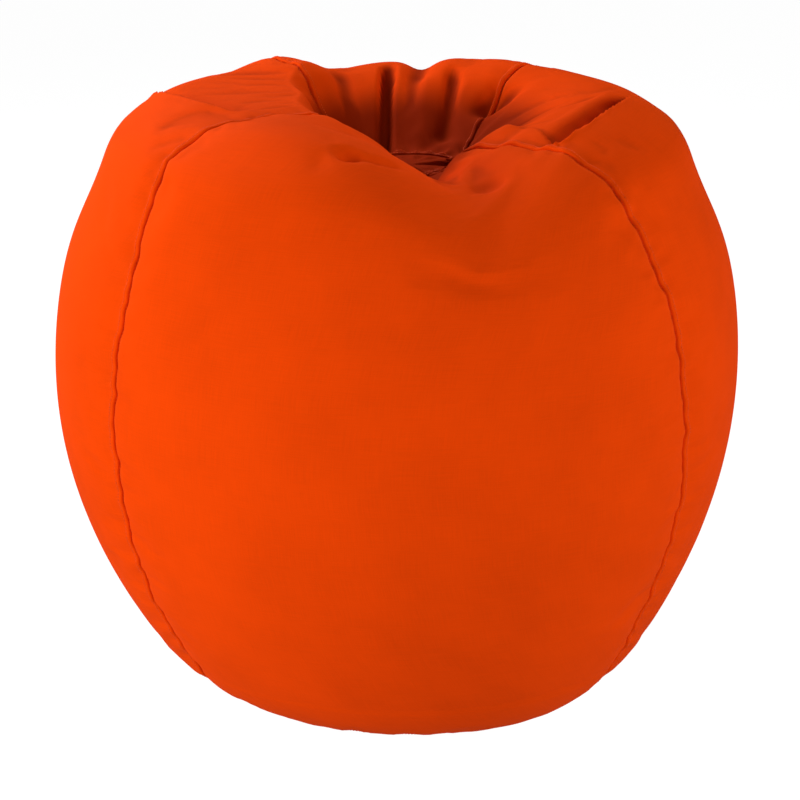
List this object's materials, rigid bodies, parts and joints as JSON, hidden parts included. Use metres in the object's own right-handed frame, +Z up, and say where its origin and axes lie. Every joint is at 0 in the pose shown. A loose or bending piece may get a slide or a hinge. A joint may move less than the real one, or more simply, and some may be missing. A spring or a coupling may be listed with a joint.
{
  "type": "bean bag chair",
  "caption": "Round bean bag chair: gored cotton cover with felled seams and a hollow for sitting, zipped liner and bead fill.",
  "frame": {"origin": "on the floor, under the middle of the base", "axes": "+Z up, front of the seat towards -Y, +X to the right seen from the front"},
  "size_m": [0.76, 0.76, 0.6818],
  "materials": {
    "orange_twill": "matte cotton twill",
    "liner_cotton": "matte plain weave",
    "beads": "matte polystyrene beads",
    "zip_tape": "woven tape",
    "zip_nylon": "moulded nylon",
    "zip_metal": "zinc alloy, satin",
    "label_satin": "woven satin, blank"
  },
  "bodies": {
    "bag": {"front_gore": "orange_twill", "right_gore": "orange_twill", "back_gore": "orange_twill", "left_gore": "orange_twill", "top_cap": "orange_twill", "base_panel_front_half": "orange_twill", "base_panel_back_half": "orange_twill", "front_left_seam": "orange_twill", "front_right_seam": "orange_twill", "back_right_seam": "orange_twill", "back_left_seam": "orange_twill", "cap_ring_seam": "orange_twill", "base_ring_seam": "orange_twill", "care_label": "label_satin", "zip_hem_front": "orange_twill", "zip_tape_front": "zip_tape", "zip_teeth_front": "zip_nylon", "zip_hem_back": "orange_twill", "zip_tape_back": "zip_tape", "zip_teeth_back": "zip_nylon", "zip_closed_stop": "zip_metal", "zip_open_stop": "zip_metal", "liner_front_gore": "liner_cotton", "liner_right_gore": "liner_cotton", "liner_back_gore": "liner_cotton", "liner_left_gore": "liner_cotton", "liner_top_cap": "liner_cotton", "liner_base_front_half": "liner_cotton", "liner_base_back_half": "liner_cotton", "liner_zip_hem_front": "liner_cotton", "liner_zip_tape_front": "zip_tape", "liner_zip_teeth_front": "zip_nylon", "liner_zip_hem_back": "liner_cotton", "liner_zip_tape_back": "zip_tape", "liner_zip_teeth_back": "zip_nylon", "liner_zip_closed_stop": "zip_metal", "liner_zip_open_stop": "zip_metal", "bead_fill": "beads"},
    "cover_slider": {"zip_slider": "zip_metal"},
    "liner_slider": {"liner_zip_slider": "zip_metal"}
  },
  "joints": [
    {"name": "cover_zip_travel", "type": "slide", "parent": "bag", "child": "cover_slider", "axis": [1, 0, 0], "range_m": [-0.22, 0]},
    {"name": "liner_zip_travel", "type": "slide", "parent": "bag", "child": "liner_slider", "axis": [1, 0, 0], "range_m": [-0.22, 0]}
  ]
}
